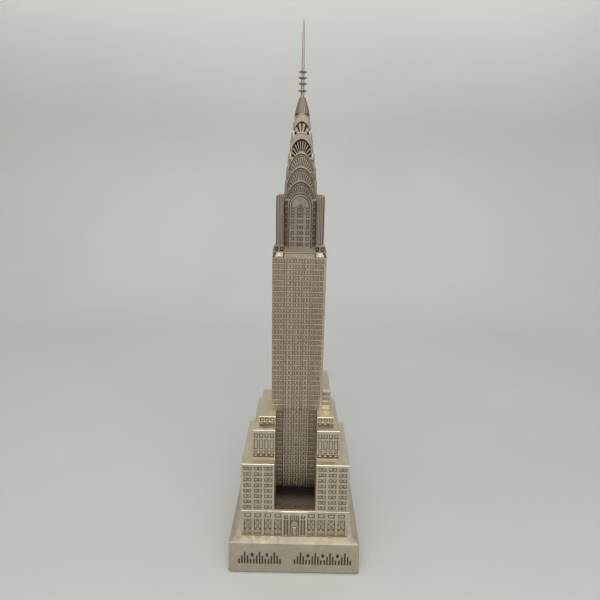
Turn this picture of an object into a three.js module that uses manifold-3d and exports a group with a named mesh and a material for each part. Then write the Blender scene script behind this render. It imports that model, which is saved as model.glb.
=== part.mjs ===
// A miniature art-deco skyscraper for a desk or shelf: hollow cast-metal blocks in setback
// tiers, a panelled square shaft, an arched crown and a ringed needle spire, all stacked on
// a bevelled plinth and held by one tie rod. Nothing moves.
// Millimetres, +Z up, front towards -Y, origin on the floor under the middle of the plinth.
import * as THREE from "three";
import { mergeVertices } from "three/addons/utils/BufferGeometryUtils.js";
import Module from "manifold-3d";

const wasm = await Module();
wasm.setup();

// ---- driving dimensions ----
const GAP = 0.3; // left between pieces that touch
const WALL = 3.0; // cast wall of the hollow blocks
const THROUGH = 1.0; // how far a cutting tool passes the face it opens
const FELT = { thick: 1.0, inset: 1.6 };

const PLINTH = { halfX: 48.4, halfY: 38.1, draft: 0.55, sideTop: 25.8, top: 28.2, bevel: 4.86 };
const COVER = { halfX: 43.5, halfY: 33.2, thick: 1.6 }; // steel plate that closes the plinth
const BASE_POCKETS = { ribX: 6, ribY: 6.5, roof: 4, halfX: 42, halfY: 32.5 };

const AXIS_Y = 9.8; // the shaft stands behind the middle of the plinth
const SIDE_DRAFT = 0.0162; // podium sides lean in this much per mm of height
const STREET = { top: 49.3, halfX: 39.1, frontY: -31.9, backY: 27.9 };
const STREET_RIBS = { halfX: 7, edge: 3.5, front: 18, back: 14 }; // front and back: ahead of the axis
const COURSE = { top: 50.1, proud: 0.5 };
const PORTAL = { halfX: 9.3, top: 48.6, proud: 0.4, depth: 2.0 };

const COURT_HALF_X = 15.0; // open court in the front of the podium
const TIERS = [
  { name: "lower_wing", halfX: 38.5, frontY: -31.8, backY: 27.8, top: 88.4, hollow: true },
  { name: "middle_wing", halfX: 30.6, frontY: -25.3, backY: 24.4, top: 111.6, hollow: true },
  { name: "upper_wing", halfX: 26.8, frontY: -19.4, backY: 24.2, top: 119.1, hollow: false },
];
const ANNEX = { outerX: 24.2, top: 134.7, rearInset: 0.5 }; // on the right-hand side only

const SHAFT = { half: 18.45, panel: 3.0, cornerTop: 232.7, top: 236.1, corner: 7.85 };
const CORNER_BLOCK = { half: 17.0, slopeTop: 235.7, top: 240.9 };
const CAP = { top: 237.2, inset: 0.25 };

const DRUM = { half: 14.6, roof: 271.0, seat: 262.4 };
const PIER = { half: 16.0, inner: 11.0, shoulder: 272.6, top: 273.1, lean: 0.5 };
const BAY = { halfX: 8.2, thick: 1.5, spring: 266.0, apex: 275.3, sideApex: 273.1 };

// Crown tiers: half width, apex height and height of the flat pocket that seats the next one.
const ARCH_RISE = 1.85; // rise of a crown arch over its half width
const ARCH_FOOT = 0.2; // least straight wall under a crown arch
const CROWN = [
  { half: 10.7, apex: 283.0, seat: 269.5 },
  { half: 9.75, apex: 291.9, seat: 281.0 },
  { half: 8.55, apex: 300.8, seat: 292.0 },
  { half: 7.2, apex: 313.9, seat: 308.0 },
  { half: 5.4, apex: 325.5, seat: 319.0 },
];
const CONE = { base: 4.3, top: 335.7, boreR: 1.6, socket: 8.0 };
// Radius and height along the cone's rounded skin, above the last tier.
const CONE_SKIN = [[4.6, 326.0], [4.1, 329.0], [3.5, 330.9], [2.85, 333.1], [2.35, 334.6], [1.9, CONE.top]];
const SPIRE = { rootR: 1.25, tipR: 0.5, top: 381.0, point: 0.6 };
const RINGS = { heights: [339.6, 343.9, 347.4, 351.0], r: 2.9, thick: 0.9, flat: 0.8, edge: 0.15 };

const ROD = { r: 2.0, low: 4.0, high: 256.0 };
const NUT = { r: 4.0, thick: 3.2, sides: 6 };
const WASHER = { r: 5.5, thick: 1.0, above: 4.9 };
const SCREW = { headR: 2.8, headDeep: 1.4, rim: 0.2, shankR: 1.3, length: 8.0, sides: 12 };
const SCREW_SPOTS = [[-26, AXIS_Y], [26, AXIS_Y], [0, -22], [0, 27]];
const SEGMENTS = 16;
const QUARTER_TURNS = [[1, 0], [0, 1], [-1, 0], [0, -1]]; // cosine and sine

// ---- materials ----
const metal = (color, roughness) =>
  new THREE.MeshStandardMaterial({ color, roughness, metalness: 0.9 });
const pewter = () => metal(0x9c9078, 0.42);
const steel = () => metal(0xb4b6b8, 0.35);
const felt = () => new THREE.MeshStandardMaterial({ color: 0x1d1d1f, roughness: 1.0, metalness: 0 });

// ---- geometry helpers ----
// A block whose lower and upper rectangles, each [x0, x1, y0, y1, z], may differ.
function block(lower, upper) {
  const shape = new THREE.BoxGeometry(1, 1, 1);
  const at = shape.getAttribute("position");
  for (let i = 0; i < at.count; i++) {
    const [x0, x1, y0, y1, z] = at.getZ(i) > 0 ? upper : lower;
    at.setXYZ(i, at.getX(i) > 0 ? x1 : x0, at.getY(i) > 0 ? y1 : y0, z);
  }
  return shape;
}

const box = (x0, x1, y0, y1, z0, z1) => block([x0, x1, y0, y1, z0], [x0, x1, y0, y1, z1]);

function toSolid(geometry) {
  const bare = geometry.clone();
  bare.deleteAttribute("normal");
  bare.deleteAttribute("uv");
  const merged = mergeVertices(bare, 1e-4);
  return new wasm.Manifold(
    new wasm.Mesh({
      numProp: 3,
      vertProperties: new Float32Array(merged.getAttribute("position").array),
      triVerts: new Uint32Array(merged.index.array),
    }),
  );
}

function toGeometry(solid) {
  const mesh = solid.getMesh();
  const geometry = new THREE.BufferGeometry();
  geometry.setAttribute("position", new THREE.BufferAttribute(mesh.vertProperties, 3));
  geometry.setIndex(new THREE.BufferAttribute(mesh.triVerts, 1));
  geometry.computeVertexNormals();
  return geometry;
}

const cut = (body, ...tools) =>
  toGeometry(tools.reduce((left, tool) => left.subtract(toSolid(tool)), toSolid(body)));
const join = (body, ...others) =>
  toGeometry(others.reduce((sum, other) => sum.add(toSolid(other)), toSolid(body)));

// An upright cylinder between two heights.
function rod(r, z0, z1, x = 0, y = AXIS_Y, sides = SEGMENTS) {
  const shape = new THREE.CylinderGeometry(r, r, z1 - z0, sides);
  shape.rotateX(Math.PI / 2);
  shape.translate(x, y, (z0 + z1) / 2);
  return shape;
}

// A turned piece around the shaft's axis, from [radius, height] pairs.
function turned(profile, x = 0, y = AXIS_Y, sides = SEGMENTS) {
  const shape = new THREE.LatheGeometry(profile.map(([r, z]) => new THREE.Vector2(r, z)), sides);
  shape.rotateX(Math.PI / 2);
  shape.translate(x, y, 0);
  return shape;
}

// A flat outline of [x, y] points, extruded upwards from z0 to z1.
function slab(points, z0, z1) {
  const outline = new THREE.Shape(points.map(([x, y]) => new THREE.Vector2(x, y)));
  const shape = new THREE.ExtrudeGeometry(outline, { depth: z1 - z0, bevelEnabled: false });
  shape.translate(0, 0, z0);
  return shape;
}

// An upright outline of [x, z] points, y0 to y1 thick.
function plate(points, y0, y1) {
  const outline = new THREE.Shape(points.map(([x, z]) => new THREE.Vector2(x, z)));
  const shape = new THREE.ExtrudeGeometry(outline, { depth: y1 - y0, bevelEnabled: false });
  shape.rotateX(Math.PI / 2);
  shape.translate(0, y1, 0);
  return shape;
}

// The outline of a round-headed opening or wall: straight sides, then a half ellipse.
function archOutline(half, base, apex, rise, steps = 14) {
  const points = [[-half, base], [half, base]];
  for (let i = 0; i <= steps; i++) {
    const turn = (Math.PI * i) / steps;
    points.push([half * Math.cos(turn), apex - rise + rise * Math.sin(turn)]);
  }
  return points;
}

// A square plan around the shaft's axis.
const square = (half, z0, z1) => box(-half, half, AXIS_Y - half, AXIS_Y + half, z0, z1);

// A plus-shaped plan around the shaft's axis: arms this long, and this wide.
function plusOutline(long, wide) {
  const quarter = [[long, -wide], [long, wide], [wide, wide]];
  const points = [];
  for (const [c, s] of QUARTER_TURNS) {
    for (const [x, y] of quarter) points.push([x * c - y * s, x * s + y * c + AXIS_Y]);
  }
  return points;
}

// ---- the assembly ----
const landmark = new THREE.Group();

function add(name, geometry, material) {
  const piece = new THREE.Mesh(geometry, material);
  piece.name = name;
  landmark.add(piece);
  return piece;
}

// Copies of one piece, or of a few shapes by turns, set about the shaft's axis in quarter turns.
function addAround(names, shapes, material) {
  names.forEach((name, turn) => {
    const copy = shapes[turn % shapes.length].clone();
    copy.translate(0, -AXIS_Y, 0);
    copy.rotateZ((turn * Math.PI) / 2);
    copy.translate(0, AXIS_Y, 0);
    add(name, copy, material());
  });
}

// A countersunk screw, head down; grow widens it into its own hole.
function screw(x, y, grow = 0) {
  const head = FELT.thick + (grow ? grow / 2 - THROUGH : 0);
  const neck = FELT.thick + SCREW.headDeep;
  const profile = [
    [0, head],
    [SCREW.headR + grow, head],
    [SCREW.headR + grow, FELT.thick + SCREW.rim + grow / 2],
    [SCREW.shankR + grow, neck + grow],
    [SCREW.shankR + grow, neck + SCREW.length + grow],
    [0, neck + SCREW.length + grow],
  ];
  return turned(profile.map(([r, z]) => [r, z + GAP / 2]), x, y, SCREW.sides);
}
const screwHoles = () => SCREW_SPOTS.map(([x, y]) => screw(x, y, GAP));

function buildBase() {
  const bottom = FELT.thick + GAP;
  const { halfX, halfY, draft, sideTop, top, bevel } = PLINTH;
  const padX = halfX - FELT.inset;
  const padY = halfY - FELT.inset;
  add("felt_pad", box(-padX, padX, -padY, padY, 0, FELT.thick), felt());

  const sides = block(
    [-halfX, halfX, -halfY, halfY, bottom],
    [draft - halfX, halfX - draft, draft - halfY, halfY - draft, sideTop],
  );
  const inX = halfX - draft - bevel;
  const inY = halfY - draft - bevel;
  const roof = block(
    [draft - halfX, halfX - draft, draft - halfY, halfY - draft, sideTop],
    [-inX, inX, -inY, inY, top],
  );
  // Four pockets under the casting, with cross ribs that carry the rod and the screws.
  const coverTop = bottom + COVER.thick;
  const { ribX, ribY } = BASE_POCKETS;
  const pocketTop = sideTop - BASE_POCKETS.roof;
  const [farX, farY] = [BASE_POCKETS.halfX, BASE_POCKETS.halfY];
  const pockets = [-1, 1].flatMap((side) => {
    const [x0, x1] = side < 0 ? [-farX, -ribX] : [ribX, farX];
    return [
      box(x0, x1, -farY, AXIS_Y - ribY, bottom - THROUGH, pocketTop),
      box(x0, x1, AXIS_Y + ribY, farY, bottom - THROUGH, pocketTop),
    ];
  });
  const [recessX, recessY] = [COVER.halfX + GAP, COVER.halfY + GAP];
  const recess = box(-recessX, recessX, -recessY, recessY, bottom - THROUGH, coverTop + GAP);
  const nutWell = rod(WASHER.r + GAP, bottom, WASHER.above + NUT.thick + WASHER.thick + GAP);
  const bore = rod(ROD.r + GAP, bottom, top + THROUGH);
  add("plinth", cut(join(sides, roof), ...pockets, recess, nutWell, bore, ...screwHoles()), pewter());

  const cover = box(-COVER.halfX, COVER.halfX, -COVER.halfY, COVER.halfY, bottom, coverTop);
  add("base_cover", cut(cover, ...screwHoles()), steel());
  SCREW_SPOTS.forEach(([x, y], i) => add("base_screw_" + (i + 1), screw(x, y), steel()));
}

function buildTieRod() {
  add("tie_rod", rod(ROD.r, ROD.low, ROD.high), steel());
  const ring = (r, z0, z1, sides) => {
    const bore = rod(ROD.r + GAP, z0 - THROUGH, z1 + THROUGH);
    return cut(rod(r, z0, z1, 0, AXIS_Y, sides), bore);
  };
  add("tie_nut", ring(NUT.r, WASHER.above, WASHER.above + NUT.thick - GAP, NUT.sides), steel());
  const seat = WASHER.above + NUT.thick;
  add("tie_washer", ring(WASHER.r, seat, seat + WASHER.thick, SEGMENTS), steel());
}

function buildStreetFloor() {
  const low = PLINTH.top + GAP;
  const grow = SIDE_DRAFT * (STREET.top - low);
  const { halfX, frontY, backY, top } = STREET;
  const walls = block(
    [-halfX - grow, halfX + grow, frontY - grow / 2, backY + grow / 2, low],
    [-halfX, halfX, frontY, backY, top],
  );
  const { halfX: rib, edge, front, back } = STREET_RIBS;
  const roof = top - WALL;
  const pockets = [-1, 1].flatMap((side) => {
    const [x0, x1] = side < 0 ? [edge - halfX, -rib] : [rib, halfX - edge];
    return [
      box(x0, x1, frontY + edge, AXIS_Y - front, low - THROUGH, roof),
      box(x0, x1, AXIS_Y - back, backY - edge, low - THROUGH, roof),
    ];
  });
  const doorX = PORTAL.halfX + GAP;
  const doorBack = frontY + PORTAL.depth + GAP;
  const doorway = box(-doorX, doorX, frontY - THROUGH, doorBack, low - THROUGH, PORTAL.top + GAP);
  const bore = rod(ROD.r + GAP, low - THROUGH, top + THROUGH);
  add("street_block", cut(walls, ...pockets, doorway, bore), pewter());

  const portal = box(
    -PORTAL.halfX, PORTAL.halfX, frontY - PORTAL.proud, frontY + PORTAL.depth, low, PORTAL.top,
  );
  add("entrance_portal", portal, pewter());

  const out = COURSE.proud;
  const course = box(
    -halfX - out, halfX + out, frontY - out, backY + out, top + GAP, COURSE.top,
  );
  add("string_course", cut(course, rod(ROD.r + GAP, top, COURSE.top + THROUGH)), pewter());
}

// One side of a podium tier. It wraps the shaft's flank and leaves the court open.
function wing(side, tier, low) {
  const { halfX, frontY, backY, top, hollow } = tier;
  const grow = SIDE_DRAFT * (top - low);
  const span = (near, far) => (side < 0 ? [-far, -near] : [near, far]);
  const walls = block(
    [...span(COURT_HALF_X, halfX + grow), frontY - grow / 2, backY + grow / 2, low],
    [...span(COURT_HALF_X, halfX), frontY, backY, top],
  );
  const shaftFront = AXIS_Y - SHAFT.half;
  const shaftX = span(0, SHAFT.half + GAP);
  const shaftRoom = box(...shaftX, shaftFront - GAP, backY + THROUGH, low - THROUGH, top + THROUGH);
  const pockets = [];
  if (hollow) {
    const roof = top - WALL;
    const middle = (frontY + backY) / 2;
    const [x0, x1] = span(SHAFT.half + GAP + WALL, halfX - WALL);
    pockets.push(box(x0, x1, frontY + WALL, middle - WALL / 2, low - THROUGH, roof));
    pockets.push(box(x0, x1, middle + WALL / 2, backY - WALL, low - THROUGH, roof));
  }
  return cut(walls, shaftRoom, ...pockets);
}

function buildPodium() {
  let low = COURSE.top + GAP;
  for (const tier of TIERS) {
    add(tier.name + "_left", wing(-1, tier, low), pewter());
    add(tier.name + "_right", wing(1, tier, low), pewter());
    low = tier.top + GAP;
  }
  const front = AXIS_Y - SHAFT.half;
  const rear = AXIS_Y + SHAFT.half - ANNEX.rearInset;
  const annex = box(SHAFT.half + GAP, ANNEX.outerX, front, rear, low, ANNEX.top);
  add("side_annex", annex, pewter());
}

function buildShaft() {
  const { half, panel, cornerTop, top, corner } = SHAFT;
  const low = COURSE.top + GAP;
  const mid = half - corner - GAP;
  // A panel's face: its two corner bays stop below the middle bay.
  const face = (wide) => [
    [-wide, low], [wide, low], [wide, cornerTop - GAP], [mid, cornerTop - GAP],
    [mid, top], [-mid, top], [-mid, cornerTop - GAP], [-wide, cornerTop - GAP],
  ];
  const wide = plate(face(half), AXIS_Y - half, AXIS_Y - half + panel);
  const narrow = plate(face(half - panel - GAP), AXIS_Y - half, AXIS_Y - half + panel);
  const turns = [["shaft_panel_front", "shaft_panel_rear"], ["shaft_panel_right", "shaft_panel_left"]];
  turns.forEach((names, quarter) => {
    names.forEach((name, opposite) => {
      const copy = (quarter ? narrow : wide).clone();
      copy.translate(0, -AXIS_Y, 0);
      copy.rotateZ(((quarter + 2 * opposite) * Math.PI) / 2);
      copy.translate(0, AXIS_Y, 0);
      add(name, copy, pewter());
    });
  });
  const cap = slab(plusOutline(half - CAP.inset, mid), top + GAP, CAP.top);
  add("shaft_cap", cut(cap, rod(ROD.r + GAP, top, CAP.top + THROUGH)), pewter());
}

function buildShoulders() {
  const inner = SHAFT.half - SHAFT.corner;
  const { half, slopeTop, top } = CORNER_BLOCK;
  const slope = block(
    [inner, SHAFT.half, AXIS_Y - SHAFT.half, AXIS_Y - inner, SHAFT.cornerTop],
    [inner, half, AXIS_Y - half, AXIS_Y - inner, slopeTop],
  );
  const upper = box(inner, half, AXIS_Y - half, AXIS_Y - inner, slopeTop, top);
  const corners = ["front_right", "rear_right", "rear_left", "front_left"];
  addAround(corners.map((c) => "corner_block_" + c), [join(slope, upper)], pewter);

  const pierIn = PIER.half - PIER.lean;
  const pierBack = AXIS_Y - PIER.inner;
  const post = box(PIER.inner, PIER.half, AXIS_Y - PIER.half, pierBack, top + GAP, PIER.shoulder);
  const head = block(
    [PIER.inner, PIER.half, AXIS_Y - PIER.half, pierBack, PIER.shoulder],
    [PIER.inner, pierIn, AXIS_Y - pierIn, pierBack, PIER.top],
  );
  addAround(corners.map((c) => "corner_pier_" + c), [join(post, head)], pewter);
}

function buildDrum() {
  const low = CAP.top + GAP;
  const arm = SHAFT.half - SHAFT.corner - GAP;
  const body = slab(plusOutline(DRUM.half, arm), low, DRUM.roof);
  const pocket = square(CROWN[0].half + GAP, DRUM.seat, DRUM.roof + THROUGH);
  const bore = rod(ROD.r + GAP, low - THROUGH, ROD.high + 2 * THROUGH);
  add("drum", cut(body, pocket, bore), pewter());

  const front = AXIS_Y - DRUM.half - GAP - BAY.thick;
  const bay = (apex) =>
    plate(archOutline(BAY.halfX, low, apex, apex - BAY.spring), front, front + BAY.thick);
  const high = bay(BAY.apex);
  const lower = bay(BAY.sideApex);
  addAround(["arch_bay_front", "arch_bay_right", "arch_bay_rear", "arch_bay_left"], [high, lower], pewter);
}

function buildCrown() {
  const seats = [DRUM.seat, ...CROWN.map((tier) => tier.seat)];
  CROWN.forEach(({ half, apex, seat }, i) => {
    const low = seats[i] + GAP;
    const rise = Math.min(ARCH_RISE * half, apex - low - ARCH_FOOT);
    const along = plate(archOutline(half, low, apex, rise), AXIS_Y - half, AXIS_Y + half);
    const across = along.clone();
    across.translate(0, -AXIS_Y, 0);
    across.rotateZ(Math.PI / 2);
    across.translate(0, AXIS_Y, 0);
    const next = CROWN[i + 1];
    const over = apex + THROUGH;
    const room = next ? square(next.half + GAP, seat, over) : rod(CONE.base + GAP, seat, over);
    add("crown_tier_" + (i + 1), cut(join(along, across), room), pewter());
  });

  const { base, top, boreR, socket } = CONE;
  const low = CROWN.at(-1).seat + GAP;
  const cone = turned([
    [0, low], [base, low], [base, CROWN.at(-1).apex], ...CONE_SKIN,
    [boreR, top], [boreR, top - socket], [0, top - socket],
  ]);
  add("crown_cone", cone, pewter());
}

function buildSpire() {
  const { rootR, tipR, top } = SPIRE;
  const low = CONE.top - CONE.socket + GAP;
  const shoulder = top - SPIRE.point;
  const needle = turned([[0, low], [rootR, low], [rootR, CONE.top], [tipR, shoulder], [0, top]]);
  add("spire_needle", needle, pewter());
  const taper = (z) => rootR + ((tipR - rootR) * (z - CONE.top)) / (shoulder - CONE.top);
  const { r, thick, flat, edge } = RINGS;
  RINGS.heights.forEach((z, i) => {
    const bore = taper(z - thick) + GAP;
    const [z0, z1] = [z - thick / 2, z + thick / 2];
    const disc = turned([
      [bore, z0], [flat * r, z0], [r, z - edge], [r, z + edge], [flat * r, z1], [bore, z1], [bore, z0],
    ]);
    add("spire_ring_" + (i + 1), disc, pewter());
  });
}

buildBase();
buildTieRod();
buildStreetFloor();
buildPodium();
buildShaft();
buildShoulders();
buildDrum();
buildCrown();
buildSpire();

export default landmark;
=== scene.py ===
"""Looks for a miniature art-deco skyscraper: satin cast-pewter blocks in setback tiers, a panelled
shaft, an arched crown and a needle spire on a bevelled plinth. Lengths are millimetres until a mesh
is made. +Z is up and the front faces -Y. Depth on a wall is measured inwards."""
import math

import bmesh
import bpy
import numpy as np
from mathutils import Matrix, Vector, noise


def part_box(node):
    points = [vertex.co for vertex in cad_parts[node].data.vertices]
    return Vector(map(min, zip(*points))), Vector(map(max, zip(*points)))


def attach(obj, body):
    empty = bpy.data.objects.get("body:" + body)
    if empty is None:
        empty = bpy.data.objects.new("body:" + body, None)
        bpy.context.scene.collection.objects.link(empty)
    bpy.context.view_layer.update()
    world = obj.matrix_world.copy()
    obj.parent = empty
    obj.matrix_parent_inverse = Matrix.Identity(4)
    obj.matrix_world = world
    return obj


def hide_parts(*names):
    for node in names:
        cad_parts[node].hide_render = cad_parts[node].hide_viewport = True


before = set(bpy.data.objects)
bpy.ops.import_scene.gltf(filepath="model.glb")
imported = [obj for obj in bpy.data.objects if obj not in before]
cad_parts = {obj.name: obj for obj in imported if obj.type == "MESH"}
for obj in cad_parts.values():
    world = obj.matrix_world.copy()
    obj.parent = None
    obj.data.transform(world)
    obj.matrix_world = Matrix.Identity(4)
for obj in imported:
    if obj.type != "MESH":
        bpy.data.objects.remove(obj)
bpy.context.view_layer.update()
MM = 0.001
METAL, PATINA, DULL, EDGE = range(4)  # material slots: worn face, dark recess, weathered, rubbed edge
QUARTERS = ((1, 0), (0, 1), (-1, 0), (0, -1))  # cosine and sine of each quarter turn
SIDES = ("front", "right", "rear", "left")  # in the order of the quarter turns
CORNERS = ("front_right", "rear_right", "rear_left", "front_left")


def corners(node):
    """The lowest and highest corner of a CAD node, in millimetres."""
    low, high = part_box(node)
    return np.array(low) / MM, np.array(high) / MM


# ---- sizes read from the frame ----
PLINTH_LOW, PLINTH_HIGH = corners("plinth")
STREET_LOW, STREET_HIGH = corners("street_block")
PORTAL_LOW, PORTAL_HIGH = corners("entrance_portal")
COURSE_LOW, COURSE_HIGH = corners("string_course")
SHAFT_LOW, SHAFT_HIGH = corners("shaft_panel_front")
BLOCK_LOW, BLOCK_HIGH = corners("corner_block_front_right")
DRUM_LOW, DRUM_HIGH = corners("drum")
BAY_LOW, BAY_HIGH = corners("arch_bay_front")
AXIS_Y = (DRUM_LOW[1] + DRUM_HIGH[1]) / 2
SHAFT_HALF = SHAFT_HIGH[0]
SHAFT_FRONT = SHAFT_LOW[1]
GAP = 0.3  # left between CAD pieces that touch
SHAFT_ARM = BLOCK_LOW[0] - GAP  # half width of the shaft's top between its corner blocks
COURT_TOP = corners("upper_wing_left")[1][2]

# ---- driving dimensions of the relief ----
DRAFT = 0.16  # run of a pocket's sloping sides
CRISP, CRISPER = (0.12, 0.12), (0.1, 0.1)  # runs of steeper sides, across and up
SKIN = 1.4  # thickness of a relief slab in front of its core
SIDE_DRAFT = 0.0162  # how far podium walls lean in for each mm of height
BEVEL = {"low": 25.8, "inset": 4.86, "draft": 0.55}
STREET = {"half": 39.1, "front": -31.9, "rear": 27.9}  # the street block's outline at its top
COURT_WALL = 15.6  # half width of the court as the shaft's face shows it
STOREY = 3.9  # pitch of the shaft's window rows
WING_ROW = 4.54  # pitch of the lower wing's window rows
GROUP_PITCH, GROUP_WIDE = 7.4, 5.75  # paired windows of the lower wing
BAY_PITCH = 7.35  # street windows
FLUTE_PITCH = 3.78  # columns of the middle and upper wings
SHOULDER = {"half": 17.0, "slope_top": 235.7}  # upper part of a corner block
DRUM_STOREY = 3.82  # pitch of the rows of windows in the drum
DRUM_ROW = {"wall": 239.3, "bay": 241.2}  # middle of the lowest row beside the bays and in them
SPRING = 266.0  # where the drum's arches spring
PIER_SHOULDER = 272.6  # the drum's piers are upright to here


# ---- meshes ----
class Shell:
    """Closed bodies gathered for one object; each face knows its material slot."""

    def __init__(self):
        self.points, self.faces, self.tones = [], [], []

    def add(self, points, faces, tones):
        base = len(self.points)
        self.points.extend(np.asarray(points, float).reshape(-1, 3).tolist())
        self.faces.extend([[base + int(i) for i in f] for f in faces])
        self.tones.extend([tones] * len(faces) if isinstance(tones, int) else list(tones))

    def turned(self, turns, across=0.0):
        """A copy turned in quarter turns about an upright axis through (0, across)."""
        c, s = QUARTERS[turns % 4]
        points = np.array(self.points)
        x, y = points[:, 0], points[:, 1] - across
        copy = Shell()
        copy.points = np.stack([x * c - y * s, x * s + y * c + across, points[:, 2]], 1).tolist()
        copy.faces, copy.tones = list(self.faces), list(self.tones)
        return copy

    def join(self, other):
        self.add(other.points, other.faces, other.tones)


class Relief:
    """A flat field with rectangles sunk in it or raised in it, each with sloping sides."""

    def __init__(self, u0, u1, v0, v1, draft=(DRAFT, DRAFT)):
        self.area = (u0, u1, v0, v1)
        self.draft = draft
        self.marks = []
        self.extra = ([], [])

    def mark(self, u0, u1, v0, v1, depth, tone=PATINA, draft=None):
        a = self.area
        u0, u1 = max(u0, a[0]), min(u1, a[1])
        v0, v1 = max(v0, a[2]), min(v1, a[3])
        if u1 - u0 > 0.001 * (a[1] - a[0]) and v1 > v0:
            self.marks.append((u0, u1, v0, v1, depth, tone, draft or self.draft))

    def stripe(self, u, half, v0, v1, depth, tone=PATINA, draft=None):
        """A mark centred on u."""
        self.mark(u - half, u + half, v0, v1, depth, tone, draft)

    def lines(self, axis):
        values = list(self.area[2 * axis : 2 * axis + 2]) + list(self.extra[axis])
        for m in self.marks:
            low, high, run = m[2 * axis], m[2 * axis + 1], m[6][axis]
            values += [low, low + run, high - run, high]
        values = np.sort(np.clip(values, *self.area[2 * axis : 2 * axis + 2]))
        apart = 0.1 * self.draft[axis]
        kept = [values[0]]
        for v in values[1:]:
            if v - kept[-1] > apart:
                kept.append(v)
        kept[-1] = self.area[2 * axis + 1]
        return np.array(kept)

    def solve(self):
        us, vs = self.lines(0), self.lines(1)
        depth = np.zeros((len(vs), len(us)))
        tone = np.zeros((len(vs) - 1, len(us) - 1), int)
        near = [0.11 * d for d in self.draft]
        for u0, u1, v0, v1, level, slot, run in self.marks:
            i0, i1 = np.searchsorted(us, u0 - near[0]), np.searchsorted(us, u1 + near[0])
            j0, j1 = np.searchsorted(vs, v0 - near[1]), np.searchsorted(vs, v1 + near[1])
            across = np.minimum(us[i0:i1] - u0, u1 - us[i0:i1]) / run[0]
            along = np.minimum(vs[j0:j1] - v0, v1 - vs[j0:j1]) / run[1]
            share = np.minimum(across[None, :], along[:, None])
            share = np.where(share > 0.85, 1, np.where(share < 0.15, 0, share))
            part = depth[j0:j1, i0:i1]
            depth[j0:j1, i0:i1] = part * (1 - share) + level * share
            tone[j0 : j1 - 1, i0 : i1 - 1] = slot
        return us, vs, depth, tone


def grid_faces(rows, columns):
    a = (np.arange(rows - 1)[:, None] * columns + np.arange(columns - 1)[None, :]).ravel()
    return np.stack([a, a + 1, a + columns + 1, a + columns], 1)


def closed_sheet(shell, front, back, rows, columns, tones):
    """A closed body from a grid of points in front and four corners behind it."""
    n = rows * columns
    index = np.arange(n).reshape(rows, columns)
    a, b, c, d = range(n, n + 4)
    faces = grid_faces(rows, columns).tolist()
    faces += [
        [a, b, *index[0, ::-1]],
        [b, c, *index[::-1, -1]],
        [c, d, *index[-1]],
        [d, a, *index[:, 0]],
        [d, c, b, a],
    ]
    shell.add(np.vstack([front, back]), faces, tones)


def slab(shell, relief, place, thick=SKIN, left=0.0, right=0.0):
    """A closed slab whose front is the relief; left and right mitre its two ends."""
    us, vs, depth, tone = relief.solve()
    rows, columns = depth.shape
    u, v = np.meshgrid(us, vs)
    front = place(u, v, depth).reshape(-1, 3)
    u0, u1, v0, v1 = relief.area
    ends = np.array([[u0 + left, v0], [u1 - right, v0], [u1 - right, v1], [u0 + left, v1]])
    back = place(ends[:, 0], ends[:, 1], np.full(4, float(thick)))
    closed_sheet(shell, front, back, rows, columns, tone.ravel().tolist() + [METAL] * 5)


def fan(shell, relief, place, spring, half, rise, thick, rim_tone=METAL):
    """A closed half-round slab; the relief runs in degrees round it and in shares of its radius."""
    angles, shares, depth, tone = relief.solve()
    rows, columns = depth.shape
    t, s = np.meshgrid(np.radians(angles), shares)
    front = place(half * s * np.cos(t), spring + rise * s * np.sin(t), depth).reshape(-1, 3)
    rim = np.radians(angles)
    back = place(half * np.cos(rim), spring + rise * np.sin(rim), np.full(columns, float(thick)))
    n = rows * columns
    index = np.arange(n).reshape(rows, columns)
    behind = np.arange(n, n + columns)
    faces = grid_faces(rows, columns).tolist()
    tones = tone.ravel().tolist()
    faces += [[index[-1, i + 1], index[-1, i], behind[i], behind[i + 1]] for i in range(columns - 1)]
    faces += [
        list(index[0]),
        list(behind[::-1]),
        [*index[:, 0], behind[0], behind[-1], *index[::-1, -1]],
    ]
    tones += [rim_tone] * (columns - 1) + [PATINA, METAL, METAL]
    shell.add(np.vstack([front, back]), faces, tones)


def wall(turns, across, out, lean=0.0, top=0.0, flare=0.0):
    """Maps (u, height, depth) on a wall to space: turned from the front in quarter turns about the
    point (0, across), with its face this far out. Below top it leans out and gets wider."""
    c, s = QUARTERS[turns % 4]

    def place(u, z, d):
        u = u * (1 + flare * (top - z))
        inward = d - out - lean * (top - z)
        return np.stack([u * c - inward * s, u * s + inward * c + across, z + 0 * u], -1)

    return place


def leaning_walls(half, y0, y1, top):
    """The four leaning sides of a podium block whose outline at its top is given, by quarter turn."""
    middle, deep, lean = (y0 + y1) / 2, (y1 - y0) / 2, SIDE_DRAFT
    front, rear = [wall(turn, 0, out, lean / 2, top, lean / half) for turn, out in ((0, -y0), (2, y1))]
    right, left = [wall(turn, middle, half, lean, top, lean / 2 / deep) for turn in (1, 3)]
    return front, right, rear, left


def loft(shell, rings, tone=METAL):
    """A closed body through loops of points that all have the same count."""
    rings = [np.asarray(r, float) for r in rings]
    count = len(rings[0])
    faces = []
    for k in range(len(rings) - 1):
        for i in range(count):
            j = (i + 1) % count
            faces.append([k * count + i, k * count + j, (k + 1) * count + j, (k + 1) * count + i])
    last = (len(rings) - 1) * count
    faces += [list(range(count))[::-1], list(range(last, last + count))]
    if not isinstance(tone, int):
        tone = list(tone) * (len(rings) - 1) + [METAL] * 2
    shell.add(np.vstack(rings), faces, tone)


def leftward(edges):
    """The unit vectors to the left of some plan edges."""
    return np.stack([-edges[:, 1], edges[:, 0]], 1) / np.linalg.norm(edges, axis=1)[:, None]


def inset(outline, by):
    """An anticlockwise outline moved inwards by a distance."""
    points = np.asarray(outline, float)
    across = leftward(points - np.roll(points, 1, 0)) + leftward(np.roll(points, -1, 0) - points)
    return points + by * across / (0.5 * (across**2).sum(1))[:, None]


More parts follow.
